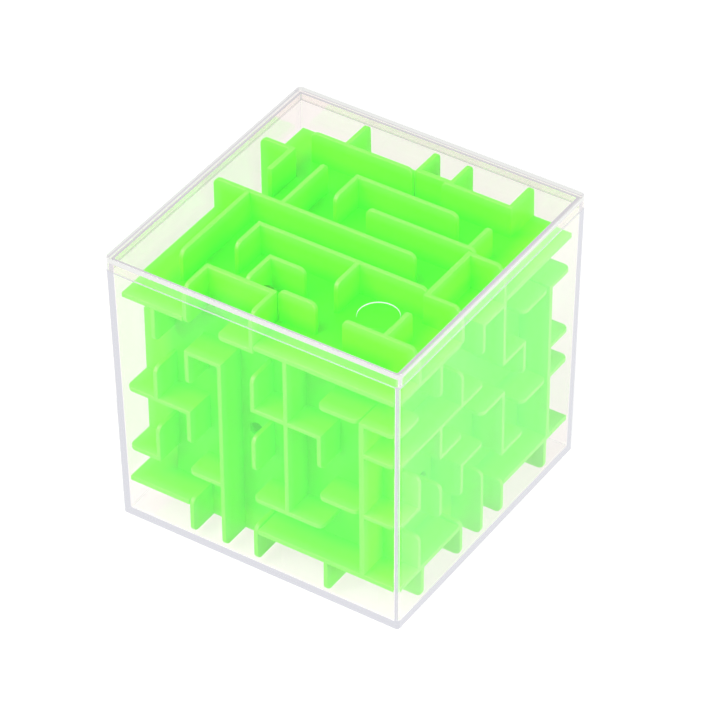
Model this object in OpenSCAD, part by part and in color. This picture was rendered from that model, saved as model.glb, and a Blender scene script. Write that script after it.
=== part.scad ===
// Tilt maze game: a clear two-piece cube case round a hollow core of six
// moulded maze plates, with one loose steel ball that rolls in the channels.
// Millimetres, Z up. The origin is the middle of the case's underside.
// The front of the cube is -Y and its right side is +X.

/* [Case] */
// outside width of the lid
case_w = 60; // [52:1:80]
// height of the closed cube
case_h = 57.7; // [50:0.1:80]
// how much narrower the foot of the case is than its top, on each side
draft = 0.75; // [0.2:0.05:1.2]
// wall thickness of the case
wall_t = 1.2; // [0.9:0.05:1.6]
// floor thickness of the case
floor_t = 1.2; // [0.8:0.1:2]

/* [Lid] */
// thickness of the lid's top
lid_t = 1.2; // [0.8:0.1:2]
// depth of the lid from its top to the end of its skirt
lid_depth = 3; // [2.6:0.1:5]
// thickness of the lid's skirt
skirt_t = 0.6; // [0.4:0.05:0.7]
// gap between the lid's skirt and the case's lip
lid_fit = 0.1; // [0.05:0.01:0.15]
// radius of the lid's four upright corners
lid_r = 1; // [0.3:0.1:1.2]
// width of the round mould mark sunk in the lid
mark_d = 7.5; // [4:0.1:12]
// depth of the round mould mark
mark_t = 0.2; // [0.1:0.05:0.4]

/* [Maze] */
// gap between the foot of the core and the case wall
core_gap = 0.2; // [0.1:0.05:0.5]
// gap between the top of the core and the lid
head_gap = 0.2; // [0.1:0.05:0.6]
// depth of the channels of the top and bottom mazes
fin_h = 6.4; // [5.8:0.1:7]
// depth of the channels of the side mazes
side_h = 6.1; // [5.8:0.1:6.6]
// width of the outermost cells of the top and bottom mazes
edge_cell = 7.4; // [7.1:0.1:8]
// thickness of the maze walls
fin_t = 0.85; // [0.6:0.05:1.1]
// thickness of the maze floors
plate_t = 1; // [0.7:0.1:1.4]
// radius of the free corners of the maze walls
fin_r = 1.3; // [0.5:0.1:2]
// how far the side plates' tongues stop short of the lid and of the floor
tongue_drop = 0.3; // [0:0.1:1]
// gap round a side plate's tongue in the notch it passes through
notch_fit = 0.1; // [0.1:0.01:0.25]
// gap between the end of a maze wall and the next side plate
end_gap = 0.3; // [0.1:0.05:0.6]
// width of the round trap holes, in which the ball rests but can't fall
hole_d = 3; // [2.5:0.1:3.2]

/* [Ball] */
// width of the steel ball
ball_d = 3.5; // [3.3:0.1:4.5]

/* [Hidden] */
$fn = 48;

e = 0.2;
big = 2 * case_w;

// case
top_half = case_w / 2 - 0.05;
foot_half = top_half - draft;
rim_z = case_h - lid_depth;
lid_z = case_h - lid_t;
skirt_half = case_w / 2 - skirt_t;
lip_half = skirt_half - lid_fit;
lip_z = lid_z - 0.1;
mark_x = 0.3035 * case_w;

// half width of the outside of the case at height z
function out_half(z) = foot_half + draft * z / rim_z;

// core
core_half = out_half(floor_t) - wall_t - core_gap;
core_z0 = floor_t;
core_z1 = lid_z - head_gap;
plate_out = core_half - side_h;
plate_in = plate_out - plate_t;
// plan pitch of the top and bottom mazes, and row height of the side mazes
pitch = (core_half - edge_cell) / 3;
rows_z1 = core_z1 - fin_h - plate_t;
rows_z0 = core_z0 + fin_h + plate_t;
row_h = (rows_z1 - rows_z0) / 6;

// upright lines of a side maze, from its long end (0) to its short end (7)
function line_u(k) = k <= 0 ? -core_half
                   : k >= 7 ? plate_in
                   : (k - 4.15) * pitch;

// levels of a side maze: 1 is under the top plate, 7 is on the bottom plate,
// 0 and 8 are the ends of the tongues
function level_z(i) = i <= 0 ? core_z1 - tongue_drop
                    : i >= 8 ? core_z0 + tongue_drop
                    : rows_z1 - (i - 1) * row_h;

// lines of the top and bottom mazes: -4 and 4 are the edges of the plate
function line_p(i) = i <= -4 ? -core_half
                   : i >= 4 ? core_half
                   : i * pitch;

// corner from (x, y), rounded by radius r towards (sx, sy)
function corner(x, y, sx, sy, r) =
    r <= 0 ? [[x, y]]
           : [for (i = [0 : 6])
                 [x - sx * r * (1 - cos(15 * i)), y - sy * r * (1 - sin(15 * i))]];

function flip(p) = [for (i = [len(p) - 1 : -1 : 0]) p[i]];

// outline of a maze wall from a to b, root at y = y0 and free edge at y = y1
function fin_pts(a, b, y0, y1, ra, rb) =
    let (s = y1 > y0 ? 1 : -1)
    concat([[a, y0], [b, y0]], corner(b, y1, 1, s, rb),
           flip(corner(a, y1, -1, s, ra)));

// whether an upright wall in list v meets line k at level i
function meets_v(v, k, i) =
    len([for (w = v) if (w[0] == k && w[1] <= i && w[2] >= i - 1) 1]) > 0;

// whether a level wall in list h meets line k at level i
function meets_h(h, k, i) =
    len([for (w = h) if (w[0] == i && w[1] <= k && w[2] >= k) 1]) > 0;

// ---- side mazes ------------------------------------------------------------
// Drawn as the front one, with its channels opening towards -Y.
// level walls [level, from line, to line]
// upright walls [line, first row, last row]; row 0 and row 7 are the tongues

module level_wall(w, v) {
    a = w[1] <= 0 ? line_u(0) : line_u(w[1]) - fin_t / 2;
    b = w[2] >= 7 ? line_u(7) - end_gap : line_u(w[2]) + fin_t / 2;
    ra = w[1] > 0 && meets_v(v, w[1], w[0]) ? 0 : fin_r;
    rb = w[2] < 7 && meets_v(v, w[2], w[0]) ? 0 : fin_r;
    z = w[0] == 1 ? level_z(1) - fin_t : level_z(w[0]) - fin_t / 2;
    translate([0, 0, z])
        linear_extrude(height = fin_t)
            polygon(fin_pts(a, b, -plate_out + e, -core_half, ra, rb));
}

module upright_wall(w, h) {
    top = w[1] >= 2 ? level_z(w[1]) + fin_t / 2 : level_z(w[1]);
    low = w[2] <= 5 ? level_z(w[2] + 1) - fin_t / 2 : level_z(w[2] + 1);
    rt = w[1] == 1 || meets_h(h, w[0], w[1]) ? 0 : fin_r;
    rl = w[2] == 6 || meets_h(h, w[0], w[2] + 1) ? 0 : fin_r;
    translate([line_u(w[0]) + fin_t / 2, 0, 0])
        rotate([0, -90, 0])
            linear_extrude(height = fin_t)
                polygon(fin_pts(low, top, -plate_out + e, -core_half, rl, rt));
}

// the flat tongue from line a to line b, from z0 to z1
module tongue(a, b, z0, z1) {
    translate([line_u(a) - fin_t / 2, -plate_out, z0])
        cube([line_u(b) - line_u(a) + fin_t, plate_t, z1 - z0]);
}

// h and v are the walls, up and down the lines of the two tongues,
// open the rows open at the long end, traps the holes [column, row]
module side_maze(h, v, up, down, open, traps) {
    difference() {
        union() {
            translate([-core_half, -plate_out, rows_z0])
                cube([core_half + plate_in, plate_t, rows_z1 - rows_z0]);
            tongue(up[0], up[1], rows_z1 - e, level_z(0));
            tongue(down[0], down[1], level_z(8), rows_z0 + e);
        }
        for (r = open)
            translate([-core_half - 1, -plate_out - 1,
                       r == 6 ? level_z(7) - 1 : level_z(r + 1) + fin_t / 2])
                cube([line_u(1) + core_half + 1 - fin_t / 2, plate_t + 2,
                      row_h - fin_t / 2 + (r == 6 || r == 1 ? 1 : -fin_t / 2)]);
        for (t = traps)
            translate([(line_u(t[0]) + line_u(t[0] + 1)) / 2, -plate_in + 1,
                       (level_z(t[1]) + level_z(t[1] + 1)) / 2])
                rotate([90, 0, 0])
                    cylinder(h = plate_t + 2, d = hole_d);
    }
    for (w = h)
        level_wall(w, v);
    for (w = v)
        upright_wall(w, h);
}

// ---- top and bottom mazes --------------------------------------------------
// walls [x from, y from, x to, y to] in plan lines

// whether another wall of list m meets the point (x, y)
function meets_m(m, n, x, y) =
    len([for (i = [0 : len(m) - 1])
            if (i != n && m[i][0] <= x && m[i][2] >= x
                && m[i][1] <= y && m[i][3] >= y) 1]) > 0;

function reach(i, s) = abs(i) >= 4 ? line_p(i) : line_p(i) + s * fin_t / 2;

module plan_wall(m, n) {
    w = m[n];
    z0 = core_z1 - fin_h - e;
    ra = meets_m(m, n, w[0], w[1]) ? 0 : fin_r;
    rb = meets_m(m, n, w[2], w[3]) ? 0 : fin_r;
    if (w[1] == w[3])
        translate([0, line_p(w[1]) + fin_t / 2, 0])
            rotate([90, 0, 0])
                linear_extrude(height = fin_t)
                    polygon(fin_pts(reach(w[0], -1), reach(w[2], 1), z0, core_z1, ra, rb));
    else
        translate([line_p(w[0]) - fin_t / 2, 0, 0])
            rotate([90, 0, 90])
                linear_extrude(height = fin_t)
                    polygon(fin_pts(reach(w[1], -1), reach(w[3], 1), z0, core_z1, ra, rb));
}

// notch in a plate's front edge for a tongue from line a to line b
module notch(a, b) {
    g = fin_t / 2 + notch_fit;
    translate([line_u(a) - g, -core_half - 1, rows_z1 - 1])
        cube([line_u(b) - line_u(a) + 2 * g, side_h + plate_t + notch_fit + 1, big]);
}

// a full-width plate with walls on its upper side, m the walls,
// notches the tongue lines at the front, right, back and left
module plan_maze(m, notches, traps) {
    difference() {
        union() {
            translate([-core_half, -core_half, rows_z1])
                cube([2 * core_half, 2 * core_half, plate_t]);
            for (n = [0 : len(m) - 1])
                plan_wall(m, n);
        }
        for (s = [0 : 3])
            rotate([0, 0, 90 * s])
                notch(notches[s][0], notches[s][1]);
        for (t = traps)
            translate([t[0] * pitch, t[1] * pitch, rows_z1 - 1])
                cylinder(h = plate_t + 2, d = hole_d);
    }
}

// ---- the walls of each maze ------------------------------------------------

FRONT_H = [[1, 3, 4], [2, 2, 3], [2, 6, 7], [3, 4, 6], [4, 0, 2], [5, 6, 7],
           [6, 0, 1], [6, 2, 3], [6, 4, 6]];
FRONT_V = [[1, 1, 1], [1, 3, 3], [1, 5, 5], [2, 0, 0], [2, 2, 2], [2, 4, 4],
           [2, 7, 7], [3, 2, 7], [4, 0, 0], [4, 2, 2], [4, 4, 4], [4, 7, 7],
           [5, 1, 5], [6, 3, 3]];

RIGHT_H = [[1, 4, 5], [2, 0, 1], [2, 6, 7], [3, 0, 4], [3, 5, 6], [4, 2, 3],
           [4, 4, 5], [5, 0, 1], [5, 3, 4], [5, 6, 7], [6, 5, 6]];
RIGHT_V = [[1, 4, 4], [1, 6, 6], [2, 1, 1], [2, 3, 3], [2, 5, 5], [3, 0, 0],
           [3, 2, 2], [3, 5, 5], [3, 7, 7], [4, 1, 1], [4, 6, 7], [5, 0, 2],
           [5, 4, 5], [5, 7, 7], [6, 3, 3]];

BACK_H = [[2, 0, 1], [2, 2, 3], [2, 4, 6], [3, 1, 2], [3, 5, 7], [4, 0, 1],
          [4, 2, 4], [5, 0, 1], [5, 3, 5], [6, 1, 3], [6, 6, 7]];
BACK_V = [[1, 3, 3], [2, 1, 2], [2, 5, 5], [3, 0, 0], [3, 3, 3], [3, 7, 7],
          [4, 0, 2], [4, 5, 5], [4, 7, 7], [5, 3, 4], [5, 6, 6], [6, 1, 1],
          [6, 4, 5]];

LEFT_H = [[2, 0, 1], [2, 4, 5], [2, 6, 7], [3, 2, 4], [4, 0, 1], [4, 5, 7],
          [5, 1, 3], [5, 4, 5], [6, 3, 4], [6, 5, 6]];
LEFT_V = [[1, 5, 5], [2, 0, 2], [2, 7, 7], [3, 3, 3], [3, 7, 7], [4, 1, 1],
          [4, 4, 4], [5, 2, 3], [5, 5, 5], [6, 2, 2], [2, 4, 4], [3, 6, 6]];

TOP_M = [[-4, 0, 2, 0], [-3, -3, -3, 0], [-2, -1, 3, -1], [-2, -2, -2, -1],
         [1, -2, 1, -1], [-1, 2, 2, 2], [-1, 1, -1, 2], [0, 1, 3.15, 1],
         [3, 1, 3, 2], [-2, 0, -2, 2], [-1, -2, 0, -2], [-1, -3, -1, -2],
         [0, -3, 1, -3], [2, -3.15, 4, -3.15], [3.15, -3.15, 3.15, -2],
         [-3, 3, 0, 3], [1, 3, 3, 3], [-2, 3, -2, 4], [3, 3, 3, 4]];

BOTTOM_M = [[2, -4, 2, -2], [-3, -3, -2.3, -3], [-3, -3, -3, -1], [-2, -2, 1, -2],
            [-1, -2, -1, -1], [0, -1, 2, -1], [3, -2, 3, -1], [3, -3, 4, -3],
            [3, 3, 4, 3], [-4, 0, -2, 0], [-1, 0, 1, 0], [1, 0, 1, 1],
            [-2, 1, 0, 1], [-2, 1, -2, 3], [2, 1, 2, 3], [0, 2, 1, 2],
            [-1, 2, -1, 4], [-3, 2, -3, 3]];

TOP_CUTS = [[2, 4], [3, 5], [3, 4], [2, 4]];
BOTTOM_CUTS = [[2, 4], [3, 5], [3, 4], [2, 4]];

// ---- case ------------------------------------------------------------------

// a square block that widens from half a at z0 to half b at z1
module drafted(a, b, z0, z1) {
    p = [[-a, z0], [a, z0], [b, z1], [-b, z1]];
    intersection() {
        translate([0, big / 2, 0])
            rotate([90, 0, 0])
                linear_extrude(height = big)
                    polygon(p);
        translate([-big / 2, 0, 0])
            rotate([90, 0, 90])
                linear_extrude(height = big)
                    polygon(p);
    }
}

module case_box() {
    color([0.9, 0.92, 0.95, 0.3])
    difference() {
        union() {
            drafted(foot_half, top_half, 0, rim_z);
            translate([-lip_half, -lip_half, rim_z - e])
                cube([2 * lip_half, 2 * lip_half, lip_z - rim_z + e]);
        }
        drafted(out_half(floor_t) - wall_t, out_half(case_h) - wall_t, floor_t, case_h);
    }
}

// a square block of half width a with its upright corners rounded
module rounded_block(a, r, z0, z1) {
    translate([-a, -a + r, z0])
        cube([2 * a, 2 * (a - r), z1 - z0]);
    translate([-a + r, -a, z0])
        cube([2 * (a - r), 2 * a, z1 - z0]);
    for (x = [-1, 1], y = [-1, 1])
        translate([x * (a - r), y * (a - r), z0])
            cylinder(h = z1 - z0, r = r);
}

module case_lid() {
    color([0.9, 0.92, 0.95, 0.3])
    difference() {
        rounded_block(case_w / 2, lid_r, rim_z, case_h);
        translate([-skirt_half, -skirt_half, rim_z - 1])
            cube([2 * skirt_half, 2 * skirt_half, lid_z - rim_z + 1]);
        translate([mark_x, -mark_x, case_h - mark_t])
            cylinder(h = mark_t + 1, d = mark_d);
    }
}

// ---- core ------------------------------------------------------------------

module top_maze() {
    color([0.43, 1, 0.24])
        plan_maze(TOP_M, TOP_CUTS, []);
}

module bottom_maze() {
    color([0.43, 1, 0.24])
        translate([0, 0, core_z0 + core_z1])
            mirror([0, 0, 1])
                plan_maze(BOTTOM_M, BOTTOM_CUTS, [[-1.5, -0.5], [1.5, 1.5]]);
}

module front_maze() {
    color([0.43, 1, 0.24])
        side_maze(FRONT_H, FRONT_V, [2, 4], [2, 4], [1, 6], [[3, 4]]);
}

module right_maze() {
    color([0.43, 1, 0.24])
        rotate([0, 0, 90])
            side_maze(RIGHT_H, RIGHT_V, [3, 5], [3, 5], [1], [[2, 5]]);
}

module back_maze() {
    color([0.43, 1, 0.24])
        rotate([0, 0, 180])
            side_maze(BACK_H, BACK_V, [3, 4], [3, 4], [1], [[5, 4]]);
}

module left_maze() {
    color([0.43, 1, 0.24])
        rotate([0, 0, 270])
            side_maze(LEFT_H, LEFT_V, [2, 3], [2, 3], [1, 6], [[1, 3]]);
}

// ---- ball ------------------------------------------------------------------
// It lies on the top maze's floor, against the wall at the lane's left end.

ball_x = -pitch + fin_t / 2 + ball_d / 2;
ball_y = -3 * pitch + fin_t / 2 + ball_d / 2 + 0.05;

module steel_ball() {
    color([0.75, 0.75, 0.78])
        translate([ball_x, ball_y, core_z1 - fin_h + ball_d / 2])
            sphere(d = ball_d);
}

case_box();
case_lid();
top_maze();
bottom_maze();
front_maze();
right_maze();
back_maze();
left_maze();
steel_ball();
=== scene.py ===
"""Tilt maze game: a clear cube case round a green maze core, with one steel ball.

Laid out as a Blender add-on and run as a script. Every size is in metres.
"""

import math

import bmesh
import bpy
from mathutils import Matrix, Vector


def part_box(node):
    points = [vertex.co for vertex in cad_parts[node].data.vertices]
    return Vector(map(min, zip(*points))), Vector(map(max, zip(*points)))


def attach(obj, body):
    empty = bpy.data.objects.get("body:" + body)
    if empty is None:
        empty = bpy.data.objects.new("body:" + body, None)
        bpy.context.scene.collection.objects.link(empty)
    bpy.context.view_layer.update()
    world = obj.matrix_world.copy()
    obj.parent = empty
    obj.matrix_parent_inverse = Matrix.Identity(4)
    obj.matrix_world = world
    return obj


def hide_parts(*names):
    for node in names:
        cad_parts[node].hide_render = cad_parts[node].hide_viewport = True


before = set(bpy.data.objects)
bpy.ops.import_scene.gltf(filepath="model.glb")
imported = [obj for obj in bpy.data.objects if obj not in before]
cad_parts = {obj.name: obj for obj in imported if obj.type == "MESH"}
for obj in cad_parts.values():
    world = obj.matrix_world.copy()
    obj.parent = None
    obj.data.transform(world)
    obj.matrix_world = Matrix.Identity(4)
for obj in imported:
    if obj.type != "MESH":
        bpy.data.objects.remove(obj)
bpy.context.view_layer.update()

bl_info = {
    "name": "Tilt maze game",
    "version": (1, 0, 0),
    "blender": (4, 5, 0),
    "location": "View3D > Sidebar > Maze game",
    "description": "Builds the clear case, the maze core, the ball and the studio",
    "category": "Object",
}

MM = 0.001
SAME_HEIGHT = 1e-6  # corners closer than this lie on one level
RING_REACH = 0.3 * MM  # how far from a square a corner may lie and still belong to its ring
LIP_EDGE = 0.1 * MM  # radius of the edge round the case's lip
SHOULDER_GAP = 0.02 * MM  # kept between the lid's skirt and the case's shoulder
MARK_DRAFT = 0.12 * MM  # how much wider the mould mark's cutter is at its top than at its foot
MERGE = 0.002 * MM  # corners of a plate's triangles closer than this are one
FLOOR_RADIUS = 3.0
FLOOR_DROP = 0.0001  # keeps the floor just under the case

SHARP = math.radians(50)  # edges bent by more than this get the mould's rounding

IOR_CLEAR = 1.5  # polystyrene's 1.59, brought down to the haze that its faces show
IOR_ABS = 1.53
CLEAR_SHADOW = "F6F6F8"  # what lamp light keeps on its way through one clear surface

CAMERA_TURN, CAMERA_RISE, CAMERA_TILT = 0.5828, 0.6796, -0.0072  # radians
CAMERA_DISTANCE = 775.2 * MM
CAMERA_AIM = (2.442, -0.03, 28.836)  # mm
CAMERA_LENS, CAMERA_SENSOR = 220.25, 36.0  # mm

LAMP_AIM = Vector((0, 0, 0.03))
KEY_SIZE, KEY_PLACE = 0.5, (-0.2, -0.36, 0.49)
SIDE_SIZE, SIDE_PLACE = 0.4, (0.62, 0.05, 0.3)
STRIP_SIZE, STRIP_PLACE = 0.1, (-0.28, -0.41, 0.47)

MAZES = ("top_maze", "bottom_maze", "front_maze", "right_maze", "back_maze", "left_maze")


# ---- sizes read from the frame ---------------------------------------------


def heights(node):
    """The heights at which a CAD node's corners lie, lowest first."""
    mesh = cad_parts[node].data
    return sorted({round(v.co.z, 6) for v in mesh.vertices})


def halves(node, z):
    """The distances from the middle, along X, of a CAD node's corners at height z."""
    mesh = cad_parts[node].data
    return sorted({round(abs(v.co.x), 6) for v in mesh.vertices if abs(v.co.z - z) < SAME_HEIGHT})


def mark_circle():
    """Middle and radius of the round mould mark sunk in the lid."""
    floor = heights("case_lid")[-2]
    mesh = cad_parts["case_lid"].data
    ring = [v.co for v in mesh.vertices if abs(v.co.z - floor) < SAME_HEIGHT]
    low = Vector((min(v.x for v in ring), min(v.y for v in ring), floor))
    high = Vector((max(v.x for v in ring), max(v.y for v in ring), floor))
    return (low + high) / 2, (high.x - low.x) / 2


CORE_LOW = Vector(map(min, *(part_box(n)[0] for n in MAZES)))
CORE_HIGH = Vector(map(max, *(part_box(n)[1] for n in MAZES)))


def linear(hex_colour):
    """An sRGB hex colour as linear RGBA."""
    out = []
    for i in (0, 2, 4):
        c = int(hex_colour[i:i + 2], 16) / 255
        out.append(c / 12.92 if c <= 0.04045 else ((c + 0.055) / 1.055) ** 2.4)
    return (*out, 1.0)


# ---- properties ------------------------------------------------------------


class MazeSizes(bpy.types.PropertyGroup):
    """Small roundings that the mould leaves on the pieces."""

    case_corner: bpy.props.FloatProperty(
        name="Case corner",
        description="Radius of the case's upright outer corners",
        default=0.6 * MM, min=0.05 * MM, max=0.6 * MM, subtype="DISTANCE", unit="LENGTH",
    )
    case_edge: bpy.props.FloatProperty(
        name="Case edge",
        description="Radius of the case's lower edges",
        default=0.3 * MM, min=0.05 * MM, max=0.6 * MM, subtype="DISTANCE", unit="LENGTH",
    )
    inner_corner: bpy.props.FloatProperty(
        name="Inner corner",
        description="Radius of the corners inside the case",
        default=0.35 * MM, min=0.05 * MM, max=0.5 * MM, subtype="DISTANCE", unit="LENGTH",
    )
    lid_corner: bpy.props.FloatProperty(
        name="Lid corner",
        description="Radius of the lid's four upright corners",
        default=1.0 * MM, min=0.3 * MM, max=1.2 * MM, subtype="DISTANCE", unit="LENGTH",
    )
    lid_edge: bpy.props.FloatProperty(
        name="Lid edge",
        description="Radius of the edge round the lid's top",
        default=0.22 * MM, min=0.05 * MM, max=0.5 * MM, subtype="DISTANCE", unit="LENGTH",
    )
    hem_edge: bpy.props.FloatProperty(
        name="Hem edge",
        description="Radius of the outer edge at the bottom of the lid's skirt",
        default=0.3 * MM, min=0.05 * MM, max=0.4 * MM, subtype="DISTANCE", unit="LENGTH",
    )
    maze_edge: bpy.props.FloatProperty(
        name="Maze edge",
        description="Radius of the edges of the maze walls",
        default=0.13 * MM, min=0.02 * MM, max=0.3 * MM, subtype="DISTANCE", unit="LENGTH",
    )


class MazeColours(bpy.types.PropertyGroup):
    """The colours a user would change. The defaults are sRGB hex values."""

    clear: bpy.props.FloatVectorProperty(
        name="Clear plastic", description="Tint of the clear case and lid",
        default=linear("FCF8F6"), size=4, min=0.0, max=1.0, subtype="COLOR",
    )
    # painted light: the case's and lid's edge colours are painted glows that stand in for light
    # mirrored inside the plastic
    case_painted_glow: bpy.props.FloatVectorProperty(
        name="Case, edges", description="Light held inside the case's walls, seen at its edges",
        default=linear("DEE0E8"), size=4, min=0.0, max=1.0, subtype="COLOR",
    )
    lid_painted_glow: bpy.props.FloatVectorProperty(
        name="Lid, edges", description="Light held inside the lid, seen at its edges",
        default=linear("F1F4F2"), size=4, min=0.0, max=1.0, subtype="COLOR",
    )
    # painted light: the root colour is a painted shade where walls meet their floors, the
    # free-edge colour a painted highlight
    green_root_painted_shade: bpy.props.FloatVectorProperty(
        name="Green, roots", description="Maze plastic where a wall meets its floor",
        default=linear("4AF000"), size=4, min=0.0, max=1.0, subtype="COLOR",
    )
    green_body: bpy.props.FloatVectorProperty(
        name="Green, walls", description="Maze plastic over the walls",
        default=linear("70F710"), size=4, min=0.0, max=1.0, subtype="COLOR",
    )
    green_edge_painted_highlight: bpy.props.FloatVectorProperty(
        name="Green, free edges", description="Maze plastic along the free edges",
        default=linear("80FA50"), size=4, min=0.0, max=1.0, subtype="COLOR",
    )
    steel: bpy.props.FloatVectorProperty(
        name="Steel", description="The ball",
        default=linear("B9BABD"), size=4, min=0.0, max=1.0, subtype="COLOR",
    )
    floor: bpy.props.FloatVectorProperty(
        name="Floor", description="The studio floor",
        default=linear("8C8C8C"), size=4, min=0.0, max=1.0, subtype="COLOR",
    )


class MazeStudio(bpy.types.PropertyGroup):
    """Strengths of the studio's lights."""

    sky: bpy.props.FloatProperty(
        name="Room light", description="Strength of the even white light", default=0.5, min=0.0
    )
    key: bpy.props.FloatProperty(
        name="Key light", description="Power of the large soft box overhead", default=2.5,
        min=0.0, unit="POWER",
    )
    side: bpy.props.FloatProperty(
        name="Side light", description="Power of the soft box on the right", default=1.9,
        min=0.0, unit="POWER",
    )
    rim: bpy.props.FloatProperty(
        name="Strip light", description="Power of the strip that lights the lid's edges",
        default=0.5, min=0.0, unit="POWER",
    )


# ---- materials -------------------------------------------------------------


def add(tree, kind, settings=None, links=None):
    """Adds a node. settings go to its properties or sockets, links to its inputs."""
    n = tree.nodes.new(kind)
    for name, value in (settings or {}).items():
        if isinstance(name, int) or name in n.inputs:
            n.inputs[name].default_value = value
        else:
            setattr(n, name, value)
    for name, source in (links or {}).items():
        tree.links.new(source, n.inputs[name])
    return n


def new_material(name):
    """An empty node material and its tree."""
    m = bpy.data.materials.new(name)
    m.use_nodes = True
    m.node_tree.nodes.clear()
    return m, m.node_tree


def clear_polystyrene(name, painted_glow):
    """Injection-moulded clear polystyrene. Its pale bright edges are a painted glow standing in
    for light mirrored inside the walls; it has a hard gloss and the faintest waviness in what is
    seen through it."""
    colours = bpy.context.scene.maze_colours
    m, t = new_material(name)
    place = add(t, "ShaderNodeTexCoord")
    flow_mm = 14.0
    flow = add(t, "ShaderNodeTexNoise", {"Scale": 1000 / flow_mm, "Detail": 1.0, "Roughness": 0.4},
               {"Vector": place.outputs["Object"]})
    wave = add(t, "ShaderNodeBump", {"Strength": 0.004, "Distance": 0.3 * MM},
               {"Height": flow.outputs["Fac"]})
    body = add(t, "ShaderNodeBsdfPrincipled", {
        "Base Color": colours.clear, "Roughness": 0.0, "IOR": IOR_CLEAR,
        "Transmission Weight": 1.0, "Specular IOR Level": 0.5,
    }, {"Normal": wave.outputs["Normal"]})
    path = add(t, "ShaderNodeLightPath")
    # light that a wall mirrors inside itself again and again is replaced by a painted glow of one
    # pale tint
    mirrored = add(t, "ShaderNodeMath", {"operation": "GREATER_THAN", 1: 1.5},
                   {0: path.outputs["Glossy Depth"]})
    painted_trapped_light = add(t, "ShaderNodeEmission", {"Color": painted_glow, "Strength": 1.0})
    lit = add(t, "ShaderNodeMixShader", {}, {0: mirrored.outputs[0], 1: body.outputs[0],
                                             2: painted_trapped_light.outputs[0]})
    # lamps shine straight through, so the core inside is lit
    lamps = add(t, "ShaderNodeBsdfTransparent", {"Color": linear(CLEAR_SHADOW)})
    mix = add(t, "ShaderNodeMixShader", {}, {0: path.outputs["Is Shadow Ray"], 1: lit.outputs[0],
                                             2: lamps.outputs[0]})
    add(t, "ShaderNodeOutputMaterial", {}, {"Surface": mix.outputs[0]})
    return m


def case_plastic():
    """The case's clear plastic, with a greyish painted glow at its edges."""
    return clear_polystyrene("clear_polystyrene_case", bpy.context.scene.maze_colours.case_painted_glow)


def lid_plastic():
    """The lid's clear plastic, with an almost white painted glow at its edges."""
    return clear_polystyrene("clear_polystyrene_lid", bpy.context.scene.maze_colours.lid_painted_glow)


def green_plastic():
    """Injection-moulded ABS in a bright, slightly see-through lime. Its free edges carry a painted
    highlight and the roots of its walls a painted shade, deeper and purer; it also gives off a
    painted glow of its own colour."""
    colours = bpy.context.scene.maze_colours
    m, t = new_material("lime_abs_moulded")
    middle = (CORE_LOW + CORE_HIGH) / 2
    half = (CORE_HIGH - CORE_LOW) / 2
    place = add(t, "ShaderNodeTexCoord")
    centred = add(t, "ShaderNodeVectorMath", {"operation": "SUBTRACT", 1: middle},
                  {0: place.outputs["Object"]})
    share = add(t, "ShaderNodeVectorMath", {"operation": "DIVIDE", 1: half},
                {0: centred.outputs[0]})
    size = add(t, "ShaderNodeVectorMath", {"operation": "ABSOLUTE"}, {0: share.outputs[0]})
    axes = add(t, "ShaderNodeSeparateXYZ", {}, {0: size.outputs[0]})
    side = add(t, "ShaderNodeMath", {"operation": "MAXIMUM"},
               {0: axes.outputs["X"], 1: axes.outputs["Y"]})
    out = add(t, "ShaderNodeMath", {"operation": "MAXIMUM"},
              {0: side.outputs[0], 1: axes.outputs["Z"]})
    # painted shade at the wall roots and floors, painted highlight along the outermost free edges,
    # graded by how far out from the core's middle a point lies
    painted_light_ramp = add(t, "ShaderNodeValToRGB", {}, {"Fac": out.outputs[0]})
    stops = painted_light_ramp.color_ramp
    stops.elements[0].position = 0.77
    stops.elements[0].color = colours.green_root_painted_shade
    stops.elements[1].position = 0.86
    stops.elements[1].color = colours.green_body
    body_end = stops.elements.new(0.93)
    body_end.color = colours.green_body
    edge = stops.elements.new(0.995)
    edge.color = colours.green_edge_painted_highlight
    cloud_mm = 9.0
    cloud = add(t, "ShaderNodeTexNoise", {"Scale": 1000 / cloud_mm, "Detail": 2.0},
                {"Vector": place.outputs["Object"]})
    shade = add(t, "ShaderNodeMapRange", {"To Min": 0.96, "To Max": 1.04},
                {"Value": cloud.outputs["Fac"]})
    toned = add(t, "ShaderNodeHueSaturation", {},
                {"Color": painted_light_ramp.outputs["Color"], "Value": shade.outputs[0]})
    grain_mm = 0.5
    grain = add(t, "ShaderNodeTexNoise", {"Scale": 1000 / grain_mm, "Detail": 3.0},
                {"Vector": place.outputs["Object"]})
    skin = add(t, "ShaderNodeBump", {"Strength": 0.12, "Distance": 0.03 * MM},
               {"Height": grain.outputs["Fac"]})
    rough = add(t, "ShaderNodeMapRange", {"To Min": 0.34, "To Max": 0.48},
                {"Value": grain.outputs["Fac"]})
    # the emission is a painted glow: the green gives off light of its own colour, which lifts it
    # as lamplight would
    body = add(t, "ShaderNodeBsdfPrincipled", {
        "IOR": IOR_ABS, "Subsurface Weight": 0.35, "Subsurface Scale": 1.2 * MM,
        "Subsurface Radius": (0.6, 1.0, 0.25), "Emission Strength": 0.17,
    }, {
        "Base Color": toned.outputs["Color"], "Roughness": rough.outputs[0],
        "Normal": skin.outputs["Normal"], "Emission Color": toned.outputs["Color"],
    })
    add(t, "ShaderNodeOutputMaterial", {}, {"Surface": body.outputs[0]})
    return m


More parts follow.
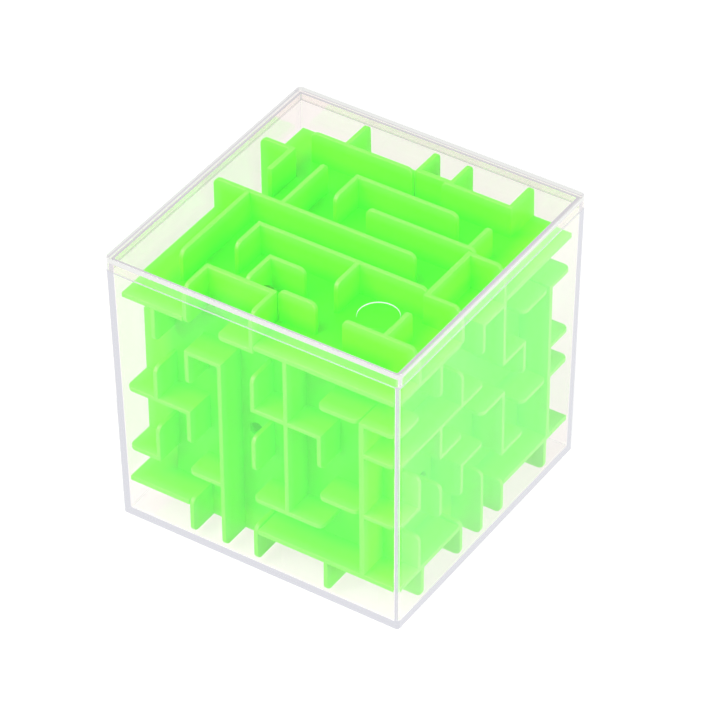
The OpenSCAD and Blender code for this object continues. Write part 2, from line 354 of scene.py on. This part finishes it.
def bearing_steel():
    """Ground and polished bearing steel. It mirrors the green round it, with faint haze."""
    colours = bpy.context.scene.maze_colours
    m, t = new_material("bearing_steel_polished")
    place = add(t, "ShaderNodeTexCoord")
    haze_mm = 0.8
    haze = add(t, "ShaderNodeTexNoise", {"Scale": 1000 / haze_mm, "Detail": 4.0},
               {"Vector": place.outputs["Object"]})
    rough = add(t, "ShaderNodeMapRange", {"To Min": 0.1, "To Max": 0.22},
                {"Value": haze.outputs["Fac"]})
    body = add(t, "ShaderNodeBsdfPrincipled", {
        "Base Color": colours.steel, "Metallic": 1.0,
    }, {"Roughness": rough.outputs[0]})
    add(t, "ShaderNodeOutputMaterial", {}, {"Surface": body.outputs[0]})
    return m


def studio_card():
    """Matt white card, so evenly lit that hardly any shadow shows on it."""
    colours = bpy.context.scene.maze_colours
    m, t = new_material("white_card_matt")
    place = add(t, "ShaderNodeTexCoord")
    fibre_mm = 3.0
    fibre = add(t, "ShaderNodeTexNoise", {"Scale": 1000 / fibre_mm, "Detail": 2.0},
                {"Vector": place.outputs["Object"]})
    rough = add(t, "ShaderNodeMapRange", {"To Min": 0.85, "To Max": 0.95},
                {"Value": fibre.outputs["Fac"]})
    body = add(t, "ShaderNodeBsdfPrincipled", {
        "Base Color": colours.floor, "Specular IOR Level": 0.0,
        "Emission Color": linear("FFFFFF"), "Emission Strength": 0.86,
    }, {"Roughness": rough.outputs[0]})
    add(t, "ShaderNodeOutputMaterial", {}, {"Surface": body.outputs[0]})
    return m


# ---- shaping ---------------------------------------------------------------


def rounded(bm, edges, radius, segments):
    """Rounds some edges."""
    bmesh.ops.bevel(bm, geom=edges, offset=radius, segments=segments, profile=0.5,
                    affect="EDGES", material=-1)


def block(bm, low_half, high_half, z0, z1):
    """A square block from height z0 to z1, with its own half width at each end."""
    verts = bmesh.ops.create_cube(bm, size=2.0)["verts"]
    low = [v for v in verts if v.co.z < 0]
    high = [v for v in verts if v.co.z > 0]
    bmesh.ops.scale(bm, vec=(low_half, low_half, 0.0), verts=low)
    bmesh.ops.scale(bm, vec=(high_half, high_half, 0.0), verts=high)
    bmesh.ops.translate(bm, vec=(0, 0, z0), verts=low)
    bmesh.ops.translate(bm, vec=(0, 0, z1), verts=high)


def face_at(bm, z):
    """The largest level face at height z."""
    level = [f for f in bm.faces if all(abs(v.co.z - z) < SAME_HEIGHT for v in f.verts)]
    return max(level, key=lambda f: f.calc_area())


def pushed(bm, face, dz, scale=1.0):
    """Extrudes one face by dz and scales its end across by scale."""
    new = bmesh.ops.extrude_discrete_faces(bm, faces=[face])["faces"][0]
    bmesh.ops.translate(bm, vec=(0, 0, dz), verts=new.verts)
    bmesh.ops.scale(bm, vec=(scale, scale, 1.0), verts=new.verts)
    return new


def upright_edges(bm, z0, z1):
    """The edges that run from height z0 to z1."""
    ends = {round(z0, 6), round(z1, 6)}
    return [e for e in bm.edges if {round(v.co.z, 6) for v in e.verts} == ends]


def ring_edges(bm, z, half):
    """The edges round a square of that half width at height z."""
    def on(v):
        across = max(abs(v.co.x), abs(v.co.y))
        return abs(v.co.z - z) < SAME_HEIGHT and abs(across - half) < RING_REACH
    return [e for e in bm.edges if on(e.verts[0]) and on(e.verts[1])]


def finished(name, bm, body, material, replaced, smooth=False):
    """Makes the piece of the bmesh: outward faces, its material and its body."""
    bmesh.ops.recalc_face_normals(bm, faces=bm.faces)
    mesh = bpy.data.meshes.new(name)
    bm.to_mesh(mesh)
    bm.free()
    for p in mesh.polygons:
        p.use_smooth = smooth
    mesh.materials.append(material)
    obj = bpy.data.objects.new(name, mesh)
    bpy.context.scene.collection.objects.link(obj)
    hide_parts(*replaced)
    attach(obj, body)
    return obj


# ---- operators -------------------------------------------------------------


class MAZE_OT_stage(bpy.types.Operator):
    """Lays the floor and sets the lights and the camera"""

    bl_idname = "maze.stage"
    bl_label = "Studio"

    def execute(self, context):
        studio = context.scene.maze_studio
        bm = bmesh.new()
        bmesh.ops.create_circle(bm, cap_ends=True, segments=96, radius=FLOOR_RADIUS)
        bmesh.ops.translate(bm, vec=(0, 0, -FLOOR_DROP), verts=bm.verts)
        mesh = bpy.data.meshes.new("studio_floor")
        bm.to_mesh(mesh)
        bm.free()
        mesh.materials.append(studio_card())
        floor = bpy.data.objects.new("studio_floor", mesh)
        context.scene.collection.objects.link(floor)

        world = bpy.data.worlds.new("white_room")
        world.use_nodes = True
        t = world.node_tree
        t.nodes.clear()
        seen = add(t, "ShaderNodeBackground", {"Color": linear("FFFFFF"), "Strength": 1.0})
        lighting = add(t, "ShaderNodeBackground",
                       {"Color": linear("FFFFFF"), "Strength": studio.sky})
        path = add(t, "ShaderNodeLightPath")
        mix = add(t, "ShaderNodeMixShader", {}, {0: path.outputs["Is Camera Ray"],
                                                 1: lighting.outputs[0], 2: seen.outputs[0]})
        add(t, "ShaderNodeOutputWorld", {}, {"Surface": mix.outputs[0]})
        context.scene.world = world
        context.scene.view_settings.view_transform = "Standard"

        self.lamp("key_softbox", studio.key, KEY_SIZE, KEY_PLACE)
        self.lamp("side_softbox", studio.side, SIDE_SIZE, SIDE_PLACE)
        self.lamp("edge_strip", studio.rim, STRIP_SIZE, STRIP_PLACE)
        self.camera(context)
        return {"FINISHED"}

    def lamp(self, name, power, size, place):
        """A square soft box that faces the middle of the case."""
        data = bpy.data.lights.new(name, "AREA")
        data.energy = power
        data.size = size
        obj = bpy.data.objects.new(name, data)
        obj.location = place
        aim = LAMP_AIM - obj.location
        obj.rotation_euler = aim.to_track_quat("-Z", "Y").to_euler()
        bpy.context.scene.collection.objects.link(obj)

    def camera(self, context):
        """Three-quarter view from the front right, down on the lid, through a long lens."""
        turn, rise, tilt = CAMERA_TURN, CAMERA_RISE, CAMERA_TILT
        aim = Vector(CAMERA_AIM) * MM
        back = Vector((math.sin(turn) * math.cos(rise), -math.cos(turn) * math.cos(rise),
                       math.sin(rise)))
        right = Vector((math.cos(turn), math.sin(turn), 0))
        up = back.cross(right)
        x = right * math.cos(tilt) + up * math.sin(tilt)
        y = up * math.cos(tilt) - right * math.sin(tilt)
        place = aim + back * CAMERA_DISTANCE
        data = bpy.data.cameras.new("camera")
        data.sensor_width = CAMERA_SENSOR
        data.lens = CAMERA_LENS
        data.clip_start, data.clip_end = 0.05, 20.0
        cam = bpy.data.objects.new("camera", data)
        cam.matrix_world = Matrix(((x.x, y.x, back.x, place.x), (x.y, y.y, back.y, place.y),
                                   (x.z, y.z, back.z, place.z), (0, 0, 0, 1)))
        context.scene.collection.objects.link(cam)
        context.scene.camera = cam


class MAZE_OT_case_box(bpy.types.Operator):
    """Builds the clear case: a drafted cup with a stepped lip"""

    bl_idname = "maze.case_box"
    bl_label = "Case"

    def execute(self, context):
        s = context.scene.maze_sizes
        foot_z, floor_z, rim_z, lip_z = heights("case_box")
        foot = halves("case_box", foot_z)[-1]
        rim = halves("case_box", rim_z)[-1]
        well = halves("case_box", floor_z)[-1]
        lip_in, lip_out = halves("case_box", lip_z)[0], halves("case_box", lip_z)[-1]
        bm = bmesh.new()
        block(bm, foot, rim, foot_z, rim_z)
        shelf = face_at(bm, rim_z)
        bmesh.ops.inset_region(bm, faces=[shelf], thickness=rim - lip_out, use_even_offset=True)
        lip = pushed(bm, face_at(bm, rim_z), lip_z - rim_z)
        bmesh.ops.inset_region(bm, faces=[lip], thickness=lip_out - lip_in, use_even_offset=True)
        pushed(bm, face_at(bm, lip_z), floor_z - lip_z, well / lip_in)
        rounded(bm, upright_edges(bm, foot_z, rim_z), s.case_corner, 4)
        rounded(bm, upright_edges(bm, floor_z, lip_z), s.inner_corner, 4)
        rounded(bm, ring_edges(bm, foot_z, foot), s.case_edge, 4)
        rounded(bm, ring_edges(bm, floor_z, well), s.inner_corner, 4)
        rounded(bm, ring_edges(bm, lip_z, lip_out), LIP_EDGE, 2)
        finished("case_cup", bm, "case", context.scene.maze_case_clear,
                 ["case_box"])
        return {"FINISHED"}


class MAZE_OT_case_lid(bpy.types.Operator):
    """Builds the clear lid: a rounded cap with a shallow skirt and a round mould mark"""

    bl_idname = "maze.case_lid"
    bl_label = "Lid"

    def execute(self, context):
        s = context.scene.maze_sizes
        skirt_z, under_z, mark_z, top_z = heights("case_lid")
        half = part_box("case_lid")[1].x
        skirt_in = halves("case_lid", under_z)[-1]
        hem_z = skirt_z + SHOULDER_GAP
        bm = bmesh.new()
        block(bm, half, half, hem_z, top_z)
        hem = face_at(bm, hem_z)
        bmesh.ops.inset_region(bm, faces=[hem], thickness=half - skirt_in, use_even_offset=True)
        pushed(bm, face_at(bm, hem_z), under_z - hem_z)
        rounded(bm, upright_edges(bm, hem_z, top_z), s.lid_corner, 8)
        rounded(bm, ring_edges(bm, top_z, half), s.lid_edge, 4)
        rounded(bm, ring_edges(bm, hem_z, half), s.hem_edge, 3)
        lid = finished("case_cap", bm, "lid", context.scene.maze_lid_clear,
                       ["case_lid"])
        self.sink_mark(lid, mark_z, top_z)
        return {"FINISHED"}

    def sink_mark(self, lid, mark_z, top_z):
        """Cuts the mould mark with a disc whose side is drafted."""
        middle, radius = mark_circle()
        bm = bmesh.new()
        bmesh.ops.create_cone(bm, cap_ends=True, segments=96, radius1=radius - MARK_DRAFT * 2 / 3,
                              radius2=radius + MARK_DRAFT / 3, depth=2 * (top_z - mark_z))
        bmesh.ops.translate(bm, vec=(middle.x, middle.y, top_z), verts=bm.verts)
        bmesh.ops.recalc_face_normals(bm, faces=bm.faces)
        mesh = bpy.data.meshes.new("mark_cutter")
        bm.to_mesh(mesh)
        bm.free()
        cutter = bpy.data.objects.new("mark_cutter", mesh)
        bpy.context.scene.collection.objects.link(cutter)
        cut = lid.modifiers.new("mould_mark", "BOOLEAN")
        cut.operation = "DIFFERENCE"
        cut.solver = "EXACT"
        cut.object = cutter
        graph = bpy.context.evaluated_depsgraph_get()
        done = bpy.data.meshes.new_from_object(lid.evaluated_get(graph))
        lid.modifiers.clear()
        old = lid.data
        lid.data = done
        bpy.data.meshes.remove(old)
        bpy.data.objects.remove(cutter)


class MAZE_OT_core(bpy.types.Operator):
    """Builds the six maze plates of the core, with softened mould edges"""

    bl_idname = "maze.core"
    bl_label = "Maze core"

    def execute(self, context):
        s = context.scene.maze_sizes
        for node in MAZES:
            bm = bmesh.new()
            bm.from_mesh(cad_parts[node].data)
            bmesh.ops.remove_doubles(bm, verts=bm.verts, dist=MERGE)
            sharp = [e for e in bm.edges if len(e.link_faces) == 2 and e.is_convex
                     and e.calc_face_angle(0.0) > SHARP]
            bmesh.ops.bevel(bm, geom=sharp, offset=s.maze_edge, segments=2, profile=0.5,
                            affect="EDGES", material=-1, clamp_overlap=False)
            finished(node.replace("_maze", "_plate"), bm, "core",
                     context.scene.maze_green, [node])
        return {"FINISHED"}


class MAZE_OT_ball(bpy.types.Operator):
    """Builds the steel ball"""

    bl_idname = "maze.ball"
    bl_label = "Ball"

    def execute(self, context):
        low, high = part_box("steel_ball")
        bm = bmesh.new()
        bmesh.ops.create_icosphere(bm, subdivisions=5, radius=(high.x - low.x) / 2)
        bmesh.ops.translate(bm, vec=(Vector(low) + Vector(high)) / 2, verts=bm.verts)
        finished("ball", bm, "ball", context.scene.maze_steel, ["steel_ball"], True)
        return {"FINISHED"}


class MAZE_PT_panel(bpy.types.Panel):
    """Lists the sizes, colours and lights of the maze game, and builds its pieces"""

    bl_idname = "MAZE_PT_panel"
    bl_label = "Tilt maze game"
    bl_space_type = "VIEW_3D"
    bl_region_type = "UI"
    bl_category = "Maze game"

    def draw(self, context):
        for group in (context.scene.maze_sizes, context.scene.maze_colours,
                      context.scene.maze_studio):
            box = self.layout.box()
            for name in group.__annotations__:
                box.prop(group, name)
        for op in OPERATORS:
            self.layout.operator(op.bl_idname)


OPERATORS = (MAZE_OT_stage, MAZE_OT_case_box, MAZE_OT_case_lid, MAZE_OT_core, MAZE_OT_ball)
GROUPS = {"maze_sizes": MazeSizes, "maze_colours": MazeColours, "maze_studio": MazeStudio}
FINISHES = {"maze_case_clear": case_plastic, "maze_lid_clear": lid_plastic,
            "maze_green": green_plastic, "maze_steel": bearing_steel}


def register():
    for c in (*GROUPS.values(), *OPERATORS, MAZE_PT_panel):
        bpy.utils.register_class(c)
    for name, group in GROUPS.items():
        setattr(bpy.types.Scene, name, bpy.props.PointerProperty(type=group))
    for name in FINISHES:
        setattr(bpy.types.Scene, name, bpy.props.PointerProperty(type=bpy.types.Material))


def unregister():
    for name in (*GROUPS, *FINISHES):
        delattr(bpy.types.Scene, name)
    for c in (MAZE_PT_panel, *reversed(OPERATORS), *reversed(tuple(GROUPS.values()))):
        bpy.utils.unregister_class(c)


def main():
    register()
    for name, make in FINISHES.items():
        setattr(bpy.context.scene, name, make())
    bpy.ops.maze.stage()
    bpy.ops.maze.case_box()
    bpy.ops.maze.case_lid()
    bpy.ops.maze.core()
    bpy.ops.maze.ball()


if __name__ == "__main__":
    main()
